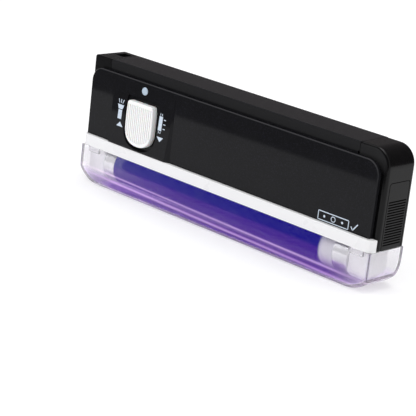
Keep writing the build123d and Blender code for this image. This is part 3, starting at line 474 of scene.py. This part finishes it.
def ink_material():
    shader = Shader("print_ink", Roughness=0.5)
    patch = shader.noise(0.5, 3.0)
    shader.use("Base Color", shader.mix(shader.ramp(patch, 0.3, 0.7, 0.0, 1.0), (0.5, 0.58, 0.68),
                                        (0.62, 0.7, 0.8)))
    shader.use("Roughness", shader.ramp(patch, 0.3, 0.7, 0.4, 0.6))
    shader.use("Normal", shader.bump(patch, 0.2, 0.01))
    return shader.material


def thick_polygon(mesh, points, surface):
    """Adds a flat closed figure in X and Z, laid on the surface y = surface(x, z)."""
    front = [mesh.verts.new((x, surface(x, z) - INK_PROUD, z)) for x, z in points]
    back = [mesh.verts.new((x, surface(x, z) + INK_PROUD, z)) for x, z in points]
    mesh.faces.new(front)
    mesh.faces.new(list(reversed(back)))
    for i in range(len(points)):
        j = (i + 1) % len(points)
        mesh.faces.new((front[i], back[i], back[j], front[j]))


def bar_points(start, end, width):
    along = (Vector(end) - Vector(start)).normalized()
    side = Vector((-along.y, along.x)) * width / 2
    a, b = Vector(start), Vector(end)
    return [tuple(p) for p in (a - side, b - side, b + side, a + side)]


def circle_points(centre, radius, count):
    turns = [2 * math.pi * i / count for i in range(count)]
    return [(centre[0] + radius * math.cos(turn), centre[1] + radius * math.sin(turn)) for turn in turns]


def outline_bars(corners, width):
    """Bars along a closed outline."""
    following = corners[1:] + corners[:1]
    return [bar_points(start, end, width) for start, end in zip(corners, following)]


def printed(name, figures, surface, ink):
    """One printed piece made of closed figures given in millimetres."""
    mesh = bmesh.new()
    for points in figures:
        thick_polygon(mesh, [(x * MM, z * MM) for x, z in points], surface)
    bmesh.ops.recalc_face_normals(mesh, faces=mesh.faces)
    data = bpy.data.meshes.new(name)
    mesh.to_mesh(data)
    mesh.free()
    piece = bpy.data.objects.new(name, data)
    bpy.context.collection.objects.link(piece)
    data.materials.append(ink)
    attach(piece, "housing")


def front_of_panel(x, z):
    return PANEL_FACE


def front_of_plinth(x, z):
    """The plinth leans out from the panel towards its foot."""
    return PANEL_FACE - PLINTH_TOP_PROUD - (PLINTH_TOP - z) / PLINTH_TALL * PLINTH_LEAN


def arrow_points(x, z, rise):
    """A triangle on x, z that points up, or down where rise is negative."""
    half = 1.9
    return [(x - half, z), (x + half, z), (x, z + rise)]


def torch_figures(x, z):
    """A small torch shining upwards, centred on x, z."""
    head = [(x - 1.1, z), (x + 1.1, z), (x + 1.9, z + 1.9), (x - 1.9, z + 1.9)]
    handle = [(x - 1.1, z - 4.2), (x + 1.1, z - 4.2), (x + 1.1, z - 0.3), (x - 1.1, z - 0.3)]
    rays = [bar_points((x + side * 0.9, z + 2.6), (x + side * 1.6, z + 4.2), 0.35) for side in (-1, 0, 1)]
    return [head, handle] + rays


def tube_figures(x, z):
    """A lamp tube with its pins, standing upright on x, z, that shines to the right."""
    glass = [(x - 1.0, z - 3.0), (x + 1.0, z - 3.0), (x + 1.0, z + 3.0), (x - 1.0, z + 3.0)]
    pins = [bar_points((x + side * 0.5, z + end * 3.3), (x + side * 0.5, z + end * 4.2), 0.3)
            for side in (-1, 1) for end in (-1, 1)]
    rays = [bar_points((x + 1.7, z + step * 1.9), (x + 2.9, z + step * 1.9), 0.35) for step in (-1, 0, 1)]
    return [glass] + pins + rays


def note_figures(x, z):
    """A plain banknote outline with a coin and a tick: the generic mark on the panel."""
    half, rise, line = 7.4, 1.7, 0.36
    corners = [(x - half, z - rise), (x + half, z - rise), (x + half, z + rise), (x - half, z + rise)]
    frame_bars = outline_bars(corners, line)
    coin = outline_bars(circle_points((x, z), 1.0, 14), 0.32)
    spots = [circle_points((x + side * 4.4, z), 0.5, 10) for side in (-1, 1)]
    tick = [bar_points((x + half + 1.3, z - 0.1), (x + half + 2.3, z - 1.3), 0.45),
            bar_points((x + half + 2.2, z - 1.3), (x + half + 4.4, z + 1.5), 0.45)]
    return frame_bars + coin + spots + tick


def prints():
    """The marks, placed in millimetres along X and Z."""
    ink = ink_material()
    up = arrow_points(-58.7, 28.9, 2.0)
    down = arrow_points(-34.4, 30.4, -2.0)
    printed("print_torch", [up] + torch_figures(-59.4, 36.2), front_of_plinth, ink)
    printed("print_lamp", [down] + tube_figures(-35.2, 36.0), front_of_plinth, ink)
    printed("print_mark", note_figures(59.6, 23.1), front_of_panel, ink)


# ---- studio ------------------------------------------------------------------
LIT_PLACE = Vector((0, 0, 0.03))


def area_light(name, place, size, power):
    light = bpy.data.lights.new(name, "AREA")
    light.shape = "RECTANGLE"
    light.size, light.size_y = size
    light.energy = power
    holder = bpy.data.objects.new(name, light)
    bpy.context.collection.objects.link(holder)
    holder.location = place
    holder.rotation_euler = (LIT_PLACE - Vector(place)).to_track_quat("-Z", "Y").to_euler()


def plane(name, corners, material):
    data = bpy.data.meshes.new(name)
    data.from_pydata(corners, [], [tuple(range(len(corners)))])
    piece = bpy.data.objects.new(name, data)
    bpy.context.collection.objects.link(piece)
    data.materials.append(material)
    return piece


def dark_card(name, colour, corners):
    """A card that shows only as a reflection."""
    paint = Shader(name, Roughness=1.0)
    paint.set("Base Color", colour)
    card = plane(name, corners, paint.material)
    card.visible_camera = False
    card.visible_diffuse = False
    card.visible_shadow = False
    card.visible_transmission = False


WORLD_LIGHT = 0.8
FLOOR_GLOW = 0.42       # lifts the floor to white without washing out the shadow


def studio():
    world = bpy.data.worlds.new("studio")
    bpy.context.scene.world = world
    world.use_nodes = True
    background = world.node_tree.nodes["Background"]
    background.inputs["Color"].default_value = (1, 1, 1, 1)
    background.inputs["Strength"].default_value = WORLD_LIGHT
    floor = Shader("floor", Roughness=0.6)
    floor.use("Base Color", floor.mix(floor.noise(300.0), (0.6, 0.6, 0.61), (0.62, 0.62, 0.625)))
    floor.set("Emission Color", (1.0, 1.0, 1.0))
    floor.set("Emission Strength", FLOOR_GLOW)
    half = 3
    plane("floor", [(-half, -half, 0), (half, -half, 0), (half, half, 0), (-half, half, 0)], floor.material)
    # the panel's upper part is dark down to this card's sloping foot
    front = -0.07
    dark_card("front_card", (0.035, 0.035, 0.035),
              [(-0.5, front, 0.0133), (0.3, front, 0.0262), (0.3, front, 0.5), (-0.5, front, 0.5)])
    # what lies in front of a detector in use is dark violet under its lamp, and shows in the cover
    near, far, lift = -0.057, -0.0125, 0.4 * MM
    dark_card("low_card", (0.03, 0.015, 0.12),
              [(-0.3, near, lift), (0.12, near, lift), (0.12, far, lift), (-0.3, far, lift)])
    # behind the block, for its top face and the end cap's corner
    foot, head = 0.02, 0.6
    dark_card("back_card", (0.108, 0.098, 0.1),
              [(-0.9, 0.35, foot), (0.9, 0.45, foot), (0.9, 0.45, head), (-0.9, 0.35, head)])
    area_light("key", (-0.35, -0.6, 0.7), (0.5, 0.5), 2.6)
    area_light("top", (0.1, 0.1, 0.8), (0.7, 0.4), 2.4)


# the camera stands to the right of the front and a little above, slightly rolled
CAMERA_AZIMUTH = math.radians(42.45)
CAMERA_ELEVATION = math.radians(17.03)
CAMERA_ROLL = math.radians(6.66)
CAMERA_DISTANCE = 0.6612
CAMERA_ASIDE = -0.00722
CAMERA_ABOVE = 0.00846
CAMERA_LENS = 141.1


def camera():
    sine, cosine = math.sin(CAMERA_AZIMUTH), math.cos(CAMERA_AZIMUTH)
    level = math.cos(CAMERA_ELEVATION)
    back = Vector((sine * level, -cosine * level, math.sin(CAMERA_ELEVATION)))
    right = (-back).cross(Vector((0, 0, 1))).normalized()
    up = right.cross(-back)
    rolled_right = right * math.cos(CAMERA_ROLL) + up * math.sin(CAMERA_ROLL)
    rolled_up = up * math.cos(CAMERA_ROLL) - right * math.sin(CAMERA_ROLL)
    eye = Vector((0, -0.001, 0)) + back * CAMERA_DISTANCE
    eye += rolled_right * CAMERA_ASIDE + rolled_up * CAMERA_ABOVE
    data = bpy.data.cameras.new("camera")
    data.lens = CAMERA_LENS
    data.sensor_width = 36.0
    holder = bpy.data.objects.new("camera", data)
    bpy.context.collection.objects.link(holder)
    turn = Matrix((rolled_right, rolled_up, back)).transposed().to_4x4()
    holder.matrix_world = Matrix.Translation(eye) @ turn
    bpy.context.scene.camera = holder


bpy.context.scene.view_settings.view_transform = "Standard"
dress_nodes()
prints()
studio()
camera()
